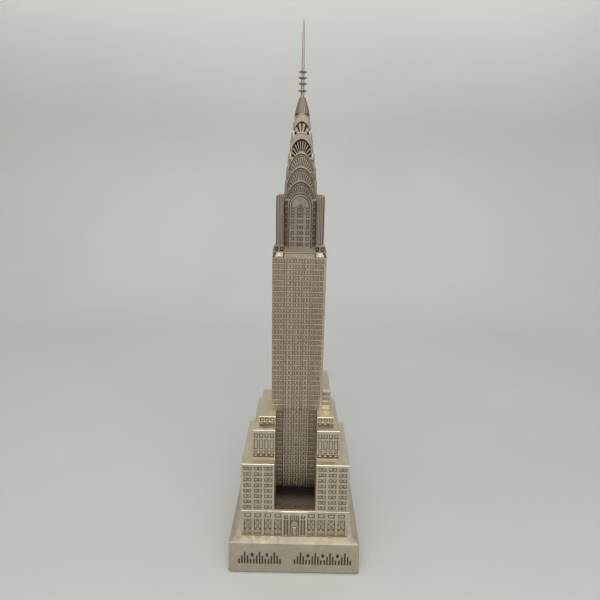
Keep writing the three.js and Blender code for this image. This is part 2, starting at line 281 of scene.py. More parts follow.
def level(outline, z):
    points = np.asarray(outline, float)
    return np.column_stack([points, np.full(len(points), float(z))])


def prism(shell, outline, low, high, chamfer=0.25, under=0.0, grow=0.0, tone=METAL):
    """An upright block with a chamfered top edge; grow widens its foot."""
    foot = inset(outline, -grow)
    rings = [level(inset(foot, under), low)]
    if under:
        rings.append(level(foot, low + under))
    rings += [level(outline, high - chamfer), level(inset(outline, chamfer), high)]
    loft(shell, rings, tone)


def rectangle(x0, x1, y0, y1):
    return [(x0, y0), (x1, y0), (x1, y1), (x0, y1)]


def rounded(x0, x1, y0, y1, radius, steps=5):
    """A rectangle with round corners."""
    points = []
    for cx, cy, start in (
        (x1 - radius, y0 + radius, -90), (x1 - radius, y1 - radius, 0),
        (x0 + radius, y1 - radius, 90), (x0 + radius, y0 + radius, 180),
    ):
        for k in range(steps + 1):
            a = math.radians(start + 90 * k / steps)
            points.append((cx + radius * math.cos(a), cy + radius * math.sin(a)))
    return points


def ring(radius, z, sides, wave=0.0, waves=0):
    """A circle of points round the shaft's axis; wave cuts flutes in it."""
    a = np.linspace(0, 2 * math.pi, sides, endpoint=False)
    r = radius * (1 - wave * (0.5 - 0.5 * np.cos(waves * a)))
    return np.stack([r * np.cos(a), AXIS_Y + r * np.sin(a), np.full(sides, z)], 1)


def put(name, data):
    """A new object in the scene."""
    thing = bpy.data.objects.new(name, data)
    bpy.context.scene.collection.objects.link(thing)
    return thing


def mesh_of(name, shell, materials):
    """A shell's mesh in metres, with its faces turned outwards and the materials that it uses."""
    mesh = bpy.data.meshes.new(name)
    mesh.from_pydata((np.array(shell.points) * MM).tolist(), [], shell.faces)
    mesh.polygons.foreach_set("material_index", shell.tones)
    for material in materials[: max(shell.tones) + 1]:
        mesh.materials.append(material)
    work = bmesh.new()
    work.from_mesh(mesh)
    bmesh.ops.recalc_face_normals(work, faces=work.faces)
    work.to_mesh(mesh)
    work.free()
    return mesh


def make(name, shell, materials, node, smooth=None):
    """The object that stands for a CAD node."""
    mesh = mesh_of(name, shell, materials)
    if smooth:
        mesh.polygons.foreach_set("use_smooth", [True] * len(mesh.polygons))
        mesh.set_sharp_from_angle(angle=math.radians(smooth))
    piece = put(name, mesh)
    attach(piece, "root")
    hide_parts(node)
    return piece


def cast(node, shell, slot, materials=None, smooth=None):
    """The casting that stands for a CAD node, in its slot's skin unless it has its own."""
    return make(f"{node}_casting", shell, materials or SKINS[slot], node, smooth)


# ---- materials ----
class Nodes:
    """A short way to build a node tree."""

    def __init__(self, name):
        self.material = bpy.data.materials.new(name)
        self.material.use_nodes = True
        self.tree = self.material.node_tree
        self.shader = self.tree.nodes["Principled BSDF"]
        self.place = self.new("ShaderNodeTexCoord").outputs["Object"]

    def new(self, kind, **settings):
        node = self.tree.nodes.new(kind)
        for key, value in settings.items():
            setattr(node, key, value)
        return node

    def link(self, a, b):
        self.tree.links.new(a, b)

    def feed(self, name, source):
        self.link(source, self.shader.inputs[name])

    def fix(self, name, value):
        self.shader.inputs[name].default_value = value

    def noise(self, scale, detail=4.0, roughness=0.55, stretch=None):
        node = self.new("ShaderNodeTexNoise")
        node.inputs["Scale"].default_value = scale
        node.inputs["Detail"].default_value = detail
        node.inputs["Roughness"].default_value = roughness
        start = self.place
        if stretch:
            mapping = self.new("ShaderNodeMapping")
            mapping.inputs["Scale"].default_value = stretch
            self.link(self.place, mapping.inputs["Vector"])
            start = mapping.outputs["Vector"]
        self.link(start, node.inputs["Vector"])
        return node.outputs["Fac"]

    def ramp(self, source, stops):
        node = self.new("ShaderNodeValToRGB")
        for element, (position, color) in zip(node.color_ramp.elements, (stops[0], stops[-1])):
            element.position, element.color = position, (*color, 1)
        for position, color in stops[1:-1]:
            node.color_ramp.elements.new(position).color = (*color, 1)
        self.link(source, node.inputs["Fac"])
        return node.outputs["Color"]

    def span(self, source, low, high, start=0.3, end=0.7):
        node = self.new("ShaderNodeMapRange")
        for key, value in (("From Min", start), ("From Max", end), ("To Min", low), ("To Max", high)):
            node.inputs[key].default_value = value
        self.link(source, node.inputs["Value"])
        return node.outputs["Result"]

    def mix(self, factor, a, b, blend="MIX"):
        node = self.new("ShaderNodeMix", data_type="RGBA", blend_type=blend)
        for socket, value in ((node.inputs["Factor"], factor), (node.inputs[6], a), (node.inputs[7], b)):
            if isinstance(value, bpy.types.NodeSocket):
                self.link(value, socket)
            else:
                socket.default_value = value if isinstance(value, float) else (*value, 1)
        return node.outputs[2]

    def bump(self, heights):
        """Bumps in a chain, from (height, strength, distance in mm)."""
        normal = None
        for height, strength, distance in heights:
            node = self.new("ShaderNodeBump")
            node.inputs["Strength"].default_value = strength
            node.inputs["Distance"].default_value = distance * MM
            self.link(height, node.inputs["Height"])
            if normal:
                self.link(normal, node.inputs["Normal"])
            normal = node.outputs["Normal"]
        self.feed("Normal", normal)


def shade(color, share):
    return tuple(c * share for c in color)


def painted_shade_mix(m, color, dark, shade_span, axis="Z"):
    """Painted shade: darkens a colour from one place on an axis to another, in millimetres: full dark to
    none.
    """
    split = m.new("ShaderNodeSeparateXYZ")
    m.link(m.place, split.inputs["Vector"])
    start, end = [place * MM for place in shade_span]
    return m.mix(m.span(split.outputs[axis], 1.0, 0.0, start, end), color, dark)


def pewter(name, color, roughness, grain=0.10, shade_span=None):
    """Satin cast pewter: slow tone drift, faint tarnish blotches, a sand-cast grain and brushing."""
    m = Nodes(name)
    m.fix("Metallic", 1.0)
    drift = m.noise(38, 3)
    tarnish = m.noise(230, 5, 0.62)
    grains = m.noise(2600, 3, 0.6)
    brushed = m.noise(900, 2, 0.5, (1.0, 1.0, 0.16))
    base = m.ramp(drift, [(0.3, shade(color, 0.94)), (0.55, color), (0.75, shade(color, 1.05))])
    clean, polished = (1.0, 1.0, 1.0), (1.05, 1.05, 1.05)
    worn = m.ramp(tarnish, [(0.35, (0.80, 0.775, 0.73)), (0.56, clean), (0.8, polished)])
    tone = m.mix(0.55, base, m.mix(1.0, base, worn, "MULTIPLY"))
    # Painted shade: darkens the colour along the height between two places, where shade falls deep in the
    # court.
    if shade_span:
        tone = painted_shade_mix(m, tone, shade(color, 0.30), shade_span)
    m.feed("Base Color", tone)
    m.feed("Roughness", m.span(tarnish, roughness - 0.05, roughness + 0.10))
    m.bump([(grains, grain, 0.12), (brushed, 0.05, 0.10), (tarnish, 0.06, 0.25)])
    return m.material


def patina(name, color, roughness=0.58, shade_span=None, axis="Z"):
    """The darkened metal left in recesses; painted shade darkens it along an axis."""
    m = Nodes(name)
    m.fix("Metallic", 0.85)
    blotch = m.noise(420, 5, 0.65)
    grains = m.noise(2100, 4, 0.6)
    tone = m.ramp(blotch, [(0.3, shade(color, 0.7)), (0.52, color), (0.75, shade(color, 1.35))])
    # Painted shade: darkens the patina along one axis towards where shade falls in the court.
    if shade_span:
        tone = painted_shade_mix(m, tone, shade(color, 0.16), shade_span, axis)
    m.feed("Base Color", tone)
    m.feed("Roughness", m.span(blotch, roughness - 0.1, roughness + 0.14))
    m.bump([(grains, 0.35, 0.15), (blotch, 0.2, 0.3)])
    return m.material


def brushed_steel():
    m = Nodes("brushed_steel")
    m.fix("Metallic", 1.0)
    lines = m.noise(1500, 3, 0.5, (1.0, 0.04, 1.0))
    tone = m.ramp(lines, [(0.3, (0.42, 0.43, 0.44)), (0.7, (0.60, 0.61, 0.62))])
    m.feed("Base Color", tone)
    m.feed("Roughness", m.span(lines, 0.26, 0.42))
    m.bump([(lines, 0.15, 0.05)])
    return m.material


def felt_cloth():
    m = Nodes("felt_cloth")
    fibres = m.noise(1900, 6, 0.7)
    clumps = m.noise(330, 4, 0.6)
    dark = m.ramp(fibres, [(0.3, (0.012, 0.012, 0.013)), (0.7, (0.045, 0.045, 0.05))])
    m.feed("Base Color", m.mix(m.span(clumps, 0.0, 0.35), dark, (0.07, 0.068, 0.066)))
    m.fix("Roughness", 0.95)
    m.fix("Sheen Weight", 0.4)
    m.bump([(fibres, 0.8, 0.25), (clumps, 0.5, 0.4)])
    return m.material


def skin(name, color, dark, roughness, grain=0.10, shade_span=None, dark_shade_span=None, worn=0.68, rubbed=1.25):
    """The four tones of a casting, in the order of the slots. The two height spans paint shade: one on the
    satin and edge tones, one on the patina.
    """
    return (
        pewter(f"{name}_satin", color, roughness, grain, shade_span),
        patina(f"{name}_patina", dark, shade_span=dark_shade_span),
        pewter(f"{name}_weathered", shade(color, worn), roughness + 0.13, 0.2),
        pewter(f"{name}_edge", shade(color, rubbed), roughness - 0.10, 0.05, shade_span),
    )


PEWTER = (0.565, 0.501, 0.390)
WARM = (0.515, 0.435, 0.335)
DARK = (0.215, 0.175, 0.122)
# Painted shade in the open court: the shaft's face and its recesses darken downwards, and the court floor
# darkens towards the shaft.
FOOT_SHADE, COURT_SHADE, FLOOR_SHADE = (44, 56), (48, 115), (-13.0, -22.0)  # darkest and clean places, mm
SKINS = {
    "plinth_pewter": skin("plinth", shade(PEWTER, 0.97), shade(DARK, 0.45), 0.36, 0.06),
    "podium_pewter": skin("podium", shade(PEWTER, 1.10), shade(DARK, 1.0), 0.42),
    "shaft_pewter": skin("shaft", shade(WARM, 0.92), shade(DARK, 2.15), 0.44, rubbed=1.07),
    "crown_pewter": skin("crown", shade(WARM, 0.71), shade(DARK, 0.55), 0.45, worn=0.74, rubbed=1.05),
}
SHAFT_SKIN, CROWN_SKIN = SKINS["shaft_pewter"], SKINS["crown_pewter"]
# The shaft's face in the court carries painted shade, darkest towards the court's floor.
COURT_SKIN = skin(
    "court", shade(WARM, 1.06), shade(DARK, 0.95), 0.46, shade_span=FOOT_SHADE, dark_shade_span=COURT_SHADE, rubbed=1.75
)
SHOULDER_SKIN = (SHAFT_SKIN[METAL], CROWN_SKIN[PATINA], SHAFT_SKIN[DULL])
TIER_SKIN = skin("tier", shade(WARM, 0.54), shade(DARK, 0.5), 0.48, worn=0.78)
BURST_SKIN = skin("burst", shade(WARM, 0.58), shade(DARK, 0.13), 0.48, worn=0.78)
CONE_SKIN = skin("cone", shade(WARM, 0.66), shade(DARK, 0.4), 0.58, worn=0.72)
# The court floor's patina carries painted shade, darkest at the shaft's foot.
FLOOR_SKIN = (SKINS["podium_pewter"][METAL], patina("court_floor", shade(DARK, 0.7), 0.7, FLOOR_SHADE, "Y"))


# ---- relief stamps ----
def window(r, u, v, wide, high, deep=0.45, pane=0.05, frame_wide=0.5):
    """A sunk frame round a pane that stands almost flush; u and v are its middle."""
    r.stripe(u, wide / 2, v - high / 2, v + high / 2, deep)
    w, h = wide / 2 - frame_wide, high / 2 - frame_wide
    if w > 0.2 and h > 0.2:
        r.stripe(u, w, v - h, v + h, pane, METAL, CRISPER)


def middles(low, high, pitch):
    """Middles of evenly spaced places that fit in a length."""
    count = max(1, int((high - low) / pitch))
    centre = (low + high) / 2
    return [centre + (k - (count - 1) / 2) * pitch for k in range(count)]


def wing_windows(r, groups, top, rows=8):
    """Pairs of small windows in rows, on the lower wing."""
    wide = GROUP_WIDE / 2 - 0.25
    for u in groups:
        for row in range(rows):
            v = top - 3.65 - row * WING_ROW
            for side in (-1, 1):
                window(r, u + side * GROUP_WIDE / 4, v, wide, 2.85, 0.5, 0.06, 0.55)


def fluted_storey(r, columns, top):
    """Middle wing: small windows, tall framed panels, smaller windows and a dark row."""
    low, high = min(columns) - FLUTE_PITCH / 2, max(columns) + FLUTE_PITCH / 2
    r.mark(low, high, top - 22.1, top - 18.6, 0.5)
    for u in columns:
        window(r, u, top - 4.4, 2.8, 3.4, 0.45, 0.06, 0.55)
        window(r, u, top - 11.4, 2.8, 7.8, 0.45, 0.06, 0.5)
        window(r, u, top - 17.0, 2.8, 2.0, 0.6, 0.25, 0.55)
        window(r, u, top - 20.3, 2.9, 2.6, 1.1, 0.35, 0.7)


def attic_storey(r, columns, top):
    """Upper wing: a row of windows over a dark row."""
    low, high = min(columns) - FLUTE_PITCH / 2, max(columns) + FLUTE_PITCH / 2
    r.mark(low, high, top - 7.1, top - 4.7, 0.45)
    for u in columns:
        window(r, u, top - 2.5, 2.8, 2.9, 0.55, 0.1, 0.6)
        window(r, u, top - 5.9, 2.8, 2.1, 1.0, 0.3, 0.65)


def street_windows(r, columns, low):
    """Street storey: a small window over a tall dark one with a mullion and lights between."""
    for u in columns:
        window(r, u, low + 17.3, 4.8, 3.3, 0.45, 0.06, 0.6)
        r.stripe(u, 2.7, low + 0.7, low + 14.0, 0.8)
        r.stripe(u, 2.5, low + 0.6, low + 4.0, 1.4)
        for side in (-1, 1):
            for v in (low + 6.0, low + 10.2):
                r.stripe(u + 1.45 * side, 0.7, v, v + 3.2, 0.4, METAL)
        r.stripe(u, 0.35, low + 2.2, low + 13.8, 0.15, METAL)
        for v in (low + 4.6, low + 9.6):
            r.stripe(u, 1.1, v, v + 0.7, 0.15, METAL)


RIBS = (-9.2, -2.95, 2.85, 8.5)  # the shaft's upright ribs
SHAFT_ROW = 3.0  # height of a window on the shaft


def shaft_face(r, low, high):
    """The shaft: four ribs, three window strips between them, and a window grid in each corner bay.
    In the open court everything is sunk deeper."""
    for foot, head, deep, groove_tone, rib_tone in (
        (low, COURT_TOP, 0.95, PATINA, EDGE), (COURT_TOP, high, 0.24, DULL, METAL)
    ):
        for left, right in zip(RIBS, RIBS[1:]):
            r.mark(left + 0.3, right - 0.3, foot, head, deep, groove_tone, CRISP)
            r.mark(left + 0.6, right - 0.6, foot, head, deep - 0.14, METAL, CRISP)
        for outer in (RIBS[0] - 0.6, RIBS[-1] + 0.6):
            r.stripe(outer, 0.25, foot, head, deep, groove_tone, CRISP)
        for rib in RIBS:
            r.stripe(rib, 0.32, foot, head, -0.12, rib_tone, CRISP)
    left, right = RIBS[0] - 0.85, RIBS[-1] + 0.85
    r.mark(left, right, COURT_TOP - 0.2, COURT_TOP + 0.25, 0.5, PATINA, CRISP)
    for u0, u1 in ((-COURT_WALL, left), (right, COURT_WALL)):
        r.mark(u0, u1, low, COURT_TOP - 0.3, 0.6, METAL, CRISP)
    r.stripe(0, COURT_WALL, low, low + 2.6, 1.2, PATINA, CRISP)
    for floor in range(int((high - low) / STOREY)):
        v = high - 0.35 - STOREY * (floor + 0.5)
        in_court = v < COURT_TOP
        base, sunk = (0.81, 0.26) if in_court else (0.1, 0.17)
        for left, right in zip(RIBS, RIBS[1:]):
            wide = (right - left - 1.4) / 2
            for side in (-1, 1):
                middle = (left + right + side * (wide + 0.1)) / 2
                window(r, middle, v, wide - 0.1, SHAFT_ROW, base + sunk, base + 0.02, 0.4)
        for first, pitch in ((-17.15, 2.05), (10.35, 1.85)):
            for u in [first + pitch * k for k in range(4)]:
                deep, pane = (1.5, 0.9) if in_court and abs(u) < COURT_WALL else (0.24, 0.04)
                window(r, u, v, pitch - 0.3, SHAFT_ROW, deep, pane, 0.4)


# ---- castings ----
def build_plinth():
    x, y = PLINTH_HIGH[0], PLINTH_HIGH[1]
    low, top = PLINTH_LOW[2], PLINTH_HIGH[2]
    draft, bevel, soft, cavity = BEVEL["draft"], BEVEL["inset"], 0.3, 6.0
    rise = soft / bevel * (top - BEVEL["low"])

    def edge(by, z, radius=1.0):
        return level(rounded(by - x, x - by, by - y, y - by, radius), z)

    body = Shell()
    loft(body, [
        edge(cavity, top - cavity),
        edge(cavity, low),
        edge(soft, low),
        edge(0, low + soft),
        edge(draft, BEVEL["low"] - soft),
        edge(draft + 0.7 * soft, BEVEL["low"] + 0.5 * rise, 0.8),
        edge(draft + bevel - soft, top - rise, 0.5),
        edge(draft + bevel + soft, top, 0.5),
    ])
    piece = cast("plinth", body, "plinth_pewter", smooth=32)
    piece.data.materials.append(SKINS["plinth_pewter"][PATINA])
    engrave(piece, -y, low)


def groove(shell, points, front, deep=0.9, slope=0.28):
    """A tapered cutter from an outline of (x, z) points on the plinth's face."""
    outline = np.asarray(points, float)
    rings = []
    for by, y in ((-0.3 * slope, front - 0.6), (slope, front + deep)):
        p = inset(outline, by)
        rings.append(np.column_stack([p[:, 0], np.full(len(p), y), p[:, 1]]))
    loft(shell, rings, PATINA)


def engrave(piece, front, low):
    """Two friezes of stepped bars and lozenges, cut into the plinth's front."""
    cutters = Shell()
    unit, half_bar, step = 10.9, 0.725, 2.1
    base, lozenge = low + 7.1, low + 15.0
    for first, count in ((-41.6, 3), (-0.6, 4)):
        for k in range(count):
            centre = first + unit * (k + 0.5)
            for j, high in zip((-2, -1, 0, 1, 2), (4.2, 7.2, 10.4, 7.2, 4.2)):
                x, top = centre + j * step, base + high
                bar = [(x - half_bar, base), (x + half_bar, base), (x + half_bar, top), (x, top + 0.5)]
                groove(cutters, [*bar, (x - half_bar, top)], front)
            if k < count - 1:
                x, z, w, h = centre + unit / 2, lozenge, 1.5, 2.5
                groove(cutters, [(x, z - h), (x + w, z), (x, z + h), (x - w, z)], front)
    tool = put("frieze_cutters", mesh_of("frieze_cutters", cutters, SKINS["plinth_pewter"]))
    cut = piece.modifiers.new("frieze", "BOOLEAN")
    cut.operation, cut.solver, cut.object = "DIFFERENCE", "EXACT", tool
    cut.material_mode = "INDEX"
    bpy.context.view_layer.update()
    result = bpy.data.meshes.new_from_object(piece.evaluated_get(bpy.context.evaluated_depsgraph_get()))
    piece.modifiers.clear()
    piece.data = result
    bpy.data.objects.remove(tool)


def build_felt():
    low, high = corners("felt_pad")
    body = Shell()
    outline = np.array(rounded(low[0], high[0], low[1], high[1], 1.6, 8))
    dense = []
    for a, b in zip(outline, np.roll(outline, -1, 0)):
        count = max(1, int(np.linalg.norm(b - a) / 0.8))
        dense += [a + (b - a) * k / count for k in range(count)]
    rings = []
    for z, by in ((0.0, 0.35), (0.12, 0.12), (0.5, 0.02), (0.88, 0.1), (1.0, 0.3)):
        fuzz = [0.16 * abs(noise.noise(Vector((p[0] * 0.9, p[1] * 0.9, z * 3)))) for p in dense]
        loop = np.array(dense)
        inward = -np.sign(loop) * (np.array(fuzz) + by)[:, None]
        rings.append(level(loop + inward * 0.7, low[2] + z * (high[2] - low[2])))
    loft(body, rings)
    make("felt_base", body, [felt_cloth()], "felt_pad", smooth=50)


def build_street():
    x, y0, y1 = STREET["half"], STREET["front"], STREET["rear"]
    low, top, thick = STREET_LOW[2], STREET_HIGH[2], 1.6
    foot, deep = low + 0.02, (y1 - y0) / 2
    walls = leaning_walls(x, y0, y1, top)
    body = Shell()
    prism(body, rectangle(-x + 1.2, x - 1.2, y0 + 1.2, y1 - 1.2), low, top - 0.02, 0.05, grow=0.3)
    door = PORTAL_HIGH[0] + 0.2
    for u0, u1 in ((-x, -door), (door, x)):
        face = Relief(u0, u1, foot, top)
        street_windows(face, [math.copysign(12.2 + BAY_PITCH * k, u0) for k in range(4)], low)
        for v in (low + 0.25, low + 0.62):
            face.mark(u0 + 1.0, u1 - 0.3, v, v + 0.18, 0.12, PATINA, (0.05, 0.05))
        slab(body, face, walls[0], thick, *((thick, 0.0) if u0 < 0 else (0.0, thick)))
    rear = Relief(-x, x, foot, top)
    street_windows(rear, middles(-x + 1, x - 1, BAY_PITCH), low)
    slab(body, rear, walls[2], thick, thick, thick)
    for turn in (1, 3):
        side = Relief(-deep, deep, foot, top)
        street_windows(side, middles(-deep + 1.5, deep - 1.5, BAY_PITCH), low)
        slab(body, side, walls[turn], thick, thick, thick)
    cast("street_block", body, "podium_pewter")

    course = Shell()
    cx, cy0, cy1 = COURSE_HIGH[0], COURSE_LOW[1], COURSE_HIGH[1]
    prism(course, rectangle(-cx, cx, cy0, cy1), COURSE_LOW[2] - 0.15, COURSE_HIGH[2], 0.12, 0.2)
    court_floor(course)
    cast("string_course", course, "podium_pewter", FLOOR_SKIN)


def court_floor(shell):
    """The rough, unpolished floor of the open court, just above the string course."""
    x0, x1, y0, y1 = -14.9, 14.9, STREET_LOW[1] + 1.6, SHAFT_FRONT
    rows, columns = 34, 42
    base, rough = COURSE_HIGH[2], 0.22
    top = [
        (x, y, base + rough + rough * noise.fractal(Vector((x * 0.35, y * 0.35, 3.0)), 1.0, 2.0, 4))
        for y in np.linspace(y0, y1, rows) for x in np.linspace(x0, x1, columns)
    ]
    closed_sheet(shell, top, level(rectangle(x0, x1, y0, y1), base - 0.1), rows, columns, PATINA)


def build_portal():
    half, low, top = PORTAL_HIGH[0], PORTAL_LOW[2], STREET_HIGH[2] + 0.4
    face = Relief(-half, half, low, top)
    head = top - 2.7
    for side in (-1, 1):
        middle = 6.2 * side
        window(face, middle, head - 2.1, 3.0, 2.9, 0.9, 0.4, 0.6)
        face.stripe(middle, 1.7, low + 0.4, head - 4.5, 0.9)
        face.stripe(middle, 0.5, low + 0.4, head - 4.7, 0.3, METAL, CRISP)
        for u in (8.7 * side, 4.05 * side):
            face.stripe(u, 0.4, low + 0.3, head - 0.2, -0.25, EDGE, CRISP)
    face.stripe(0, 3.4, low + 0.4, head - 0.7, 0.8)
    for u in (-2.25, -0.75, 0.75, 2.25):
        face.stripe(u, 0.4, head - 5.2, head - 1.1, 0.45, METAL, CRISP)
    for step in range(3):
        foot = head - 7.3 - step
        face.stripe(0, 1.6 + 0.5 * step, foot, foot + 0.9, 0.35 - 0.1 * step, METAL, CRISPER)
    body = Shell()
    slab(body, face, wall(0, 0, -PORTAL_LOW[1]), 2.0)
    arched_door(body, low, head - 8.9)
    ledge = rectangle(-half - 0.15, half + 0.15, PORTAL_LOW[1] - 0.25, PORTAL_LOW[1] + 1.6)
    prism(body, ledge, top - 0.75, top, 0.2, 0.15)
    make("portal_casting", body, SKINS["podium_pewter"], "entrance_portal")


def arched_door(shell, low, top):
    """An arched doorway: a stepped surround, a dark reveal and two door leaves."""
    face = PORTAL_LOW[1] + 0.45

    def arch(half, head, y0, y1, tone):
        angles = np.linspace(0, math.pi, 13)
        curve = [(half * math.cos(a), head - half + half * math.sin(a)) for a in angles]
        loop = [(half, low + 0.3), *curve, (-half, low + 0.3)]
        loft(shell, [[(x, y, z) for x, z in loop] for y in (y0, y1)], tone)

    arch(2.6, top + 0.1, face - 0.28, face + 0.6, METAL)
    arch(1.85, top - 0.7, face - 0.32, face + 0.5, PATINA)
    for side in (-1, 1):
        leaf = rectangle(*sorted((0.12 * side, 1.05 * side)), face - 0.5, face)
        prism(shell, leaf, low + 0.3, top - 2.2, 0.12)


def wing_outline(side, x0, x1, y0, y1, by=0.0):
    """An L-shaped plan: in front of the shaft's face it reaches in to the court."""
    notch, court_end = SHAFT_HALF + GAP, SHAFT_FRONT - GAP
    points = [(x0, y0), (x1, y0), (x1, y1), (notch, y1), (notch, court_end), (x0, court_end)]
    if side < 0:
        points = [(-x, y) for x, y in points][::-1]
    return inset(points, by)


def build_wing(side, name, stamp, front_columns, cornice):
    """One side of a podium tier, with windows on its front, court flank, outer side and rear."""
    node = f"{name}_{'left' if side < 0 else 'right'}"
    box_low, box_high = corners(node)
    grow = SIDE_DRAFT * (box_high[2] - box_low[2])
    outer = max(abs(box_low[0]), abs(box_high[0])) - grow
    inner = min(abs(box_low[0]), abs(box_high[0]))
    y0, y1 = box_low[1] + grow / 2, box_high[1] - grow / 2
    z0, z1 = box_low[2], box_high[2]
    face_top, walls = z1 - cornice, leaning_walls(outer, y0, y1, z1)
    body = Shell()
    prism(body, wing_outline(side, inner, outer, y0, y1, SKIN - 0.2), z0, face_top + 0.1, 0.05)

    front = Relief(*sorted((side * inner, side * outer)), z0, face_top)
    stamp(front, [side * u for u in front_columns], z1)
    corner = (0.0, SKIN) if side > 0 else (SKIN, 0.0)
    slab(body, front, walls[0], SKIN, *corner)

    deep = (y1 - y0) / 2
    flank = Relief(-deep, deep, z0, face_top)
    pitch = GROUP_PITCH if name == "lower_wing" else FLUTE_PITCH
    stamp(flank, middles(1.2 - deep, deep - 1.2, pitch), z1)
    slab(body, flank, walls[1 if side > 0 else 3], SKIN, SKIN, SKIN)

    rear_x0 = SHAFT_HALF + GAP
    rear = Relief(*sorted((-side * rear_x0, -side * outer)), z0, face_top)
    stamp(rear, [-side * u for u in middles(rear_x0 + 0.6, outer - 0.6, pitch)], z1)
    slab(body, rear, walls[2], SKIN, *corner[::-1])

    reach = (SHAFT_FRONT - GAP - y0 - SKIN) / 2
    court = Relief(-reach, reach, z0, face_top)
    stamp(court, middles(0.6 - reach, reach - 0.6, pitch), z1)
    slab(body, court, wall(3 if side > 0 else 1, y0 + SKIN + reach, -inner), SKIN)

    roof = wing_outline(side, inner, outer, y0, y1, -0.22)
    prism(body, roof, face_top, z1, 0.2, 0.08)
    cast(node, body, "podium_pewter")


def build_podium():
    groups = [16.3 + GROUP_WIDE / 2 + GROUP_PITCH * k for k in range(3)]
    columns = [17.2 + FLUTE_PITCH * k for k in range(4)]
    for side in (-1, 1):
        build_wing(side, "lower_wing", wing_windows, groups, 0.45)
        build_wing(side, "middle_wing", fluted_storey, columns, 1.3)
        build_wing(side, "upper_wing", attic_storey, columns[:3], 0.7)
    build_annex()


def build_annex():
    """The low block beside the shaft, on the right only, with small windows on its three free sides."""
    low, high = corners("side_annex")
    body = Shell()
    top = high[2] - 0.35
    prism(body, rectangle(low[0], high[0] - 1.0, low[1] + 1.0, high[1] - 1.0), low[2], top + 0.1, 0.05)
    rows = [top - 2.2 - STOREY * k for k in range(int((top - low[2] - 1) / STOREY))]
    for turn, u0, u1, out, left, right in (
        (0, low[0], high[0], -low[1], 0.0, 1.2),
        (1, low[1], high[1], high[0], 1.2, 1.2),
        (2, -high[0], -low[0], high[1], 1.2, 0.0),
    ):
        face = Relief(u0, u1, low[2], top)
        for u in middles(u0 + 0.05, u1 - 0.05, 1.75):
            for v in rows:
                window(face, u, v, 1.25, 2.3, 0.6, 0.12, 0.3)
        slab(body, face, wall(turn, 0, out), 1.2, left, right)
    prism(body, inset(rectangle(low[0], high[0], low[1], high[1]), -0.2), top, high[2], 0.14, 0.1)
    cast("side_annex", body, "podium_pewter")


def build_shaft():
    low, top, thick = SHAFT_LOW[2], SHAFT_HIGH[2], 3.0
    corner_top = BLOCK_LOW[2] - GAP
    face = Relief(-SHAFT_HALF, SHAFT_HALF, low, corner_top)
    shaft_face(face, low, corner_top)
    upper = Relief(-SHAFT_ARM, SHAFT_ARM, corner_top, top)
    upper.stripe(0, SHAFT_ARM, top - 0.95, top - 0.6, 0.2, PATINA, CRISPER)
    upper.stripe(0, SHAFT_ARM, top - 0.6, top + 0.5, -0.25, METAL, (0.1, 0.2))
    front = wall(0, AXIS_Y, AXIS_Y - SHAFT_FRONT)
    panel = Shell()
    slab(panel, face, front, thick, thick, thick)
    slab(panel, upper, front, thick)
    for turn, side in enumerate(SIDES):
        finish = COURT_SKIN if side == "front" else None
        cast(f"shaft_panel_{side}", panel.turned(turn, AXIS_Y), "shaft_pewter", finish)


def plus(arm, wide):
    """A plus-shaped plan round the shaft's axis."""
    points = []
    for c, s in QUARTERS:
        for x, y in ((arm, -wide), (arm, wide), (wide, wide)):
            points.append((x * c - y * s, x * s + y * c + AXIS_Y))
    return points


def build_shoulders():
    """The shaft's cap, and the blocks and piers that stand on its four corners."""
    low, high = corners("shaft_cap")
    cap = Shell()
    prism(cap, plus(high[0] - 0.1, SHAFT_ARM), low[2] - 0.25, high[2] + 0.9, 0.06, 0.1, tone=DULL)
    cast("shaft_cap", cap, "shaft_pewter")
    block, pier = corner_block(), corner_pier()
    for turn, name in enumerate(CORNERS):
        cast(f"corner_block_{name}", block.turned(turn, AXIS_Y), "shaft_pewter", SHOULDER_SKIN)
        cast(f"corner_pier_{name}", pier.turned(turn, AXIS_Y), "crown_pewter")


def corner_block():
    """The front-right block: a cut corner, a sloping ledge with a knob, and two windows a side."""
    low, high = BLOCK_LOW, BLOCK_HIGH
    inner, half, upper, slope_top = low[0], SHAFT_HALF, SHOULDER["half"], SHOULDER["slope_top"]
    block = Shell()
    loft(block, [
        level(shoulder_plan(inner, reach, chamfer), z)
        for reach, chamfer, z in (
            (half - 0.05, 0.3, low[2] - 0.2), (half, 0.3, low[2] + 0.1), (half - 0.25, 1.5, low[2] + 0.3),
            (upper + 0.1, 1.5, slope_top - 0.1), (upper, 1.5, slope_top + 0.2),
            (upper - 1.0, 0.4, slope_top + 0.25), (upper - 1.0, 0.4, high[2] - 0.4),
        )
    ], [METAL, DULL, PATINA, DULL, METAL, METAL, METAL, PATINA])
    middle = (inner + upper) / 2
    lean = (half - upper) / (slope_top - low[2])
    for turn, sign, left, right in ((0, 1, 0.0, 1.2), (1, -1, 1.2, 0.0)):
        face = Relief(*sorted((sign * inner, sign * upper)), slope_top, high[2] - 0.3)
        face.mark(*face.area, 0.12, DULL)
        centre = sign * middle
        for u in (middle - 1.75, middle + 1.75):
            window(face, sign * u, (slope_top + high[2]) / 2 - 0.3, 2.2, 3.0, 1.0, 0.75, 0.65)
        slab(block, face, wall(turn, AXIS_Y, upper), 1.2, left, right)
        knob = Relief(centre - 0.6, centre + 0.6, low[2] + 0.8, slope_top - 0.5)
        knob.stripe(centre, 0.35, low[2] + 1.2, slope_top - 0.9, 0.5)
        slab(block, knob, wall(turn, AXIS_Y, upper + 0.3, lean, slope_top), 1.0)
    roof = rectangle(inner, upper + 0.15, AXIS_Y - upper - 0.15, AXIS_Y - inner)
    prism(block, roof, high[2] - 0.45, high[2], 0.15, 0.1)
    return block


